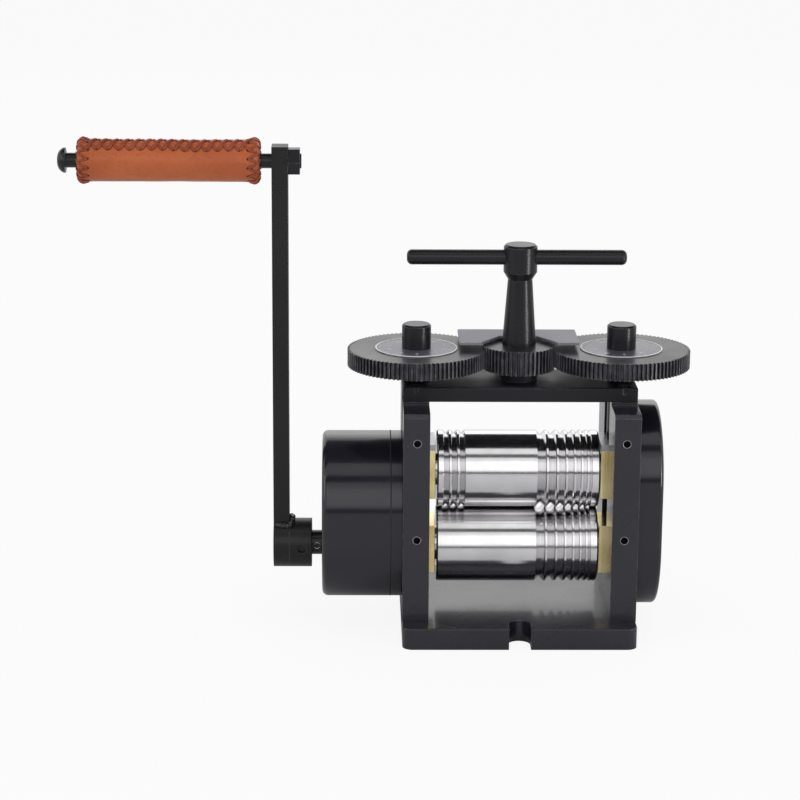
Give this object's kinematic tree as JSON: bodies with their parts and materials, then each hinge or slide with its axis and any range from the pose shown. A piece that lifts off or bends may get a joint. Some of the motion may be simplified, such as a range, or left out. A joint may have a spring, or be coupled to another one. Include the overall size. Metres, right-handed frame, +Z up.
{
  "type": "jewellers rolling mill",
  "caption": "Hand cranked bench rolling mill: grooved steel rolls between cheeks, T-handle gap adjustment with toothed dials, enclosed gearing and a leather-covered crank grip.",
  "frame": {"origin": "middle of the base plate's underside, on the bench", "axes": "+Z up, -Y towards the operator (front), +X to the operator's right; roll axes run along X and the crank is on the -X side"},
  "size_m": [0.4308, 0.14, 0.3385],
  "materials": {
    "black_enamel": "gloss",
    "blackened_steel": "satin",
    "ground_steel": "polished",
    "machined_steel": "satin",
    "bronze": "satin",
    "dial_metal": "satin",
    "spring_steel": "satin",
    "tan_leather": "satin",
    "core_wood": "matte"
  },
  "bodies": {
    "frame": {"base_plate": "black_enamel", "base_screws": "blackened_steel", "left_cheek": "black_enamel", "right_cheek": "black_enamel", "top_plate": "black_enamel", "top_plate_screws": "blackened_steel", "lower_bearing_left": "bronze", "lower_bearing_right": "bronze", "lift_springs_left": "spring_steel", "lift_springs_right": "spring_steel", "right_cover": "black_enamel", "right_cover_screws": "blackened_steel", "gearbox_plate": "black_enamel", "gearbox_cover": "black_enamel", "gearbox_screws": "blackened_steel", "input_bush": "bronze", "layshaft_bush": "bronze", "gear_guard": "dial_metal", "guard_screws": "blackened_steel"},
    "crank": {"input_shaft": "blackened_steel", "crank_hub": "blackened_steel", "hub_set_screw": "machined_steel", "crank_arm": "blackened_steel", "grip_spindle": "blackened_steel", "spindle_nut": "blackened_steel"},
    "grip": {"grip_core": "core_wood", "grip_leather": "tan_leather"},
    "layshaft": {"layshaft": "machined_steel", "layshaft_gear": "machined_steel"},
    "lower_roll": {"lower_roll": "ground_steel", "lower_roll_gear": "machined_steel", "roll_drive_gear": "machined_steel"},
    "upper_blocks": {"upper_bearing_left": "bronze", "upper_bearing_right": "bronze", "pressure_pad_left": "machined_steel", "pressure_pad_right": "machined_steel"},
    "upper_roll": {"upper_roll": "ground_steel", "upper_roll_gear": "machined_steel"},
    "left_screw": {"pressure_screw_left": "blackened_steel", "dial_left": "black_enamel", "dial_plate_left": "dial_metal"},
    "right_screw": {"pressure_screw_right": "blackened_steel", "dial_right": "black_enamel", "dial_plate_right": "dial_metal"},
    "t_handle": {"handle_stem": "blackened_steel", "tommy_bar": "blackened_steel", "handle_pinion": "blackened_steel"}
  },
  "joints": [
    {"name": "crank_turn", "type": "hinge", "parent": "frame", "child": "crank", "pos_m": [-0.155, 0, 0.0545], "axis": [1, 0, 0], "continuous": true},
    {"name": "grip_spin", "type": "hinge", "parent": "crank", "child": "grip", "pos_m": [-0.238, 0, 0.3235], "axis": [1, 0, 0], "continuous": true},
    {"name": "layshaft_turn", "type": "hinge", "parent": "frame", "child": "layshaft", "pos_m": [-0.1, 0, 0.0965], "axis": [1, 0, 0], "continuous": true},
    {"name": "lower_roll_turn", "type": "hinge", "parent": "frame", "child": "lower_roll", "pos_m": [0, 0, 0.0545], "axis": [1, 0, 0], "continuous": true},
    {"name": "roll_gap", "type": "slide", "parent": "frame", "child": "upper_blocks", "axis": [0, 0, 1], "range_m": [-0.00035, 0.003], "deforming": ["lift_springs_left", "lift_springs_right"]},
    {"name": "upper_roll_turn", "type": "hinge", "parent": "upper_blocks", "child": "upper_roll", "pos_m": [0, 0, 0.1085], "axis": [1, 0, 0], "continuous": true},
    {"name": "left_screw_turn", "type": "hinge", "parent": "upper_blocks", "child": "left_screw", "pos_m": [-0.0705, 0, 0.19], "axis": [0, 0, 1], "range_deg": [-65, 542]},
    {"name": "right_screw_turn", "type": "hinge", "parent": "upper_blocks", "child": "right_screw", "pos_m": [0.0705, 0, 0.19], "axis": [0, 0, 1], "range_deg": [-65, 542]},
    {"name": "t_handle_turn", "type": "hinge", "parent": "frame", "child": "t_handle", "pos_m": [0, 0, 0.2], "axis": [0, 0, 1], "range_deg": [-1046.7, 122.6]}
  ],
  "couplings": [
    {"joint": "layshaft_turn", "follows": "crank_turn", "ratio": -0.5},
    {"joint": "lower_roll_turn", "follows": "crank_turn", "ratio": 0.25},
    {"joint": "upper_roll_turn", "follows": "crank_turn", "ratio": -0.25},
    {"joint": "left_screw_turn", "follows": "roll_gap", "rad_per_m": 3141.6},
    {"joint": "right_screw_turn", "follows": "roll_gap", "rad_per_m": 3141.6},
    {"joint": "t_handle_turn", "follows": "roll_gap", "rad_per_m": -6086.8}
  ]
}
